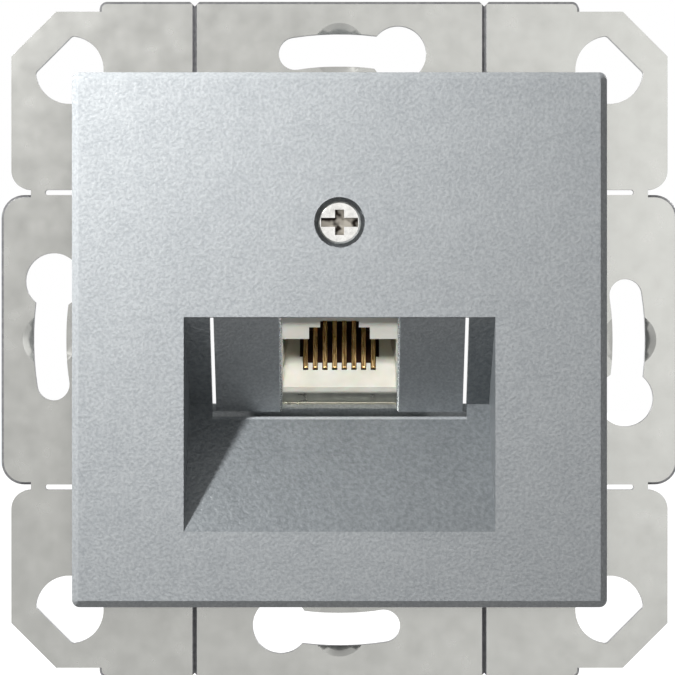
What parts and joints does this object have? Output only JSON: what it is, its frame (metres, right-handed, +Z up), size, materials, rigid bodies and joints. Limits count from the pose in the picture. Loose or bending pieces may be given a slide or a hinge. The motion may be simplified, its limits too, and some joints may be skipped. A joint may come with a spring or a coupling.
{
  "type": "ethernet socket",
  "caption": "Flush angled ethernet socket: satin square cover with a sloping recess for one modular jack, on a stamped steel support frame, with a hinged wiring lid behind.",
  "frame": {"origin": "middle of the support frame's rear face, on the wall plane", "axes": "+Y into the wall, +Z up, +X to the right seen from the front"},
  "size_m": [0.071, 0.0347, 0.071],
  "materials": {
    "lacquered_plastic": "moulded, aluminium-coloured satin lacquer",
    "zinc_plated_steel": "stamped sheet, bright zinc plating",
    "nickel_plated_steel": "turned, bright nickel plating",
    "cream_plastic": "moulded, natural",
    "black_plastic": "moulded, black",
    "gold_plated_bronze": "spring wire, gold plating",
    "tinned_sheet": "folded sheet, matte tin plating",
    "zinc_die_casting": "die-cast, tumbled",
    "green_laminate": "glass laminate with solder mask",
    "white_plastic": "moulded"
  },
  "bodies": {
    "socket": {"support_frame": "zinc_plated_steel", "cover_plate": "lacquered_plastic", "cover_screw": "nickel_plated_steel", "aperture_insert": "lacquered_plastic", "module_holder": "zinc_die_casting", "holder_rivets": "nickel_plated_steel", "jack_shell": "tinned_sheet", "jack_insulator": "cream_plastic", "contact_carrier": "black_plastic", "contact_tails": "gold_plated_bronze", "circuit_board": "green_laminate", "wire_block_left": "white_plastic", "wire_block_right": "white_plastic", "idc_blades": "tinned_sheet", "rear_shell": "zinc_die_casting", "lid_hinge_pin": "nickel_plated_steel", "cable_clamp": "zinc_die_casting", "clamp_screws": "nickel_plated_steel"},
    "contact_1": {"contact_1": "gold_plated_bronze"},
    "contact_2": {"contact_2": "gold_plated_bronze"},
    "contact_3": {"contact_3": "gold_plated_bronze"},
    "contact_4": {"contact_4": "gold_plated_bronze"},
    "contact_5": {"contact_5": "gold_plated_bronze"},
    "contact_6": {"contact_6": "gold_plated_bronze"},
    "contact_7": {"contact_7": "gold_plated_bronze"},
    "contact_8": {"contact_8": "gold_plated_bronze"},
    "ground_spring_left": {"ground_spring_left": "tinned_sheet"},
    "ground_spring_right": {"ground_spring_right": "tinned_sheet"},
    "rear_lid": {"rear_lid": "zinc_die_casting"}
  },
  "joints": [
    {"name": "contact_1_flex", "type": "hinge", "parent": "socket", "child": "contact_1", "pos_m": [-0.00357, 0.00417, 0.00542], "axis": [1, 0, 0], "range_deg": [0, 6], "stiffness_Nm_per_rad": 0.02},
    {"name": "contact_2_flex", "type": "hinge", "parent": "socket", "child": "contact_2", "pos_m": [-0.00255, 0.00417, 0.00542], "axis": [1, 0, 0], "range_deg": [0, 6], "stiffness_Nm_per_rad": 0.02},
    {"name": "contact_3_flex", "type": "hinge", "parent": "socket", "child": "contact_3", "pos_m": [-0.00153, 0.00417, 0.00542], "axis": [1, 0, 0], "range_deg": [0, 6], "stiffness_Nm_per_rad": 0.02},
    {"name": "contact_4_flex", "type": "hinge", "parent": "socket", "child": "contact_4", "pos_m": [-0.00051, 0.00417, 0.00542], "axis": [1, 0, 0], "range_deg": [0, 6], "stiffness_Nm_per_rad": 0.02},
    {"name": "contact_5_flex", "type": "hinge", "parent": "socket", "child": "contact_5", "pos_m": [0.00051, 0.00417, 0.00542], "axis": [1, 0, 0], "range_deg": [0, 6], "stiffness_Nm_per_rad": 0.02},
    {"name": "contact_6_flex", "type": "hinge", "parent": "socket", "child": "contact_6", "pos_m": [0.00153, 0.00417, 0.00542], "axis": [1, 0, 0], "range_deg": [0, 6], "stiffness_Nm_per_rad": 0.02},
    {"name": "contact_7_flex", "type": "hinge", "parent": "socket", "child": "contact_7", "pos_m": [0.00255, 0.00417, 0.00542], "axis": [1, 0, 0], "range_deg": [0, 6], "stiffness_Nm_per_rad": 0.02},
    {"name": "contact_8_flex", "type": "hinge", "parent": "socket", "child": "contact_8", "pos_m": [0.00357, 0.00417, 0.00542], "axis": [1, 0, 0], "range_deg": [0, 6], "stiffness_Nm_per_rad": 0.02},
    {"name": "ground_spring_left_flex", "type": "hinge", "parent": "socket", "child": "ground_spring_left", "pos_m": [-0.0064, 0.00294, 0.00432], "axis": [0, 0.7071, -0.7071], "range_deg": [0, 4], "stiffness_Nm_per_rad": 0.02},
    {"name": "ground_spring_right_flex", "type": "hinge", "parent": "socket", "child": "ground_spring_right", "pos_m": [0.0064, 0.00294, 0.00432], "axis": [0, -0.7071, 0.7071], "range_deg": [0, 4], "stiffness_Nm_per_rad": 0.02},
    {"name": "rear_lid_hinge", "type": "hinge", "parent": "socket", "child": "rear_lid", "pos_m": [0, 0.0069, 0.02483], "axis": [1, 0, 0], "range_deg": [0, 100]}
  ]
}
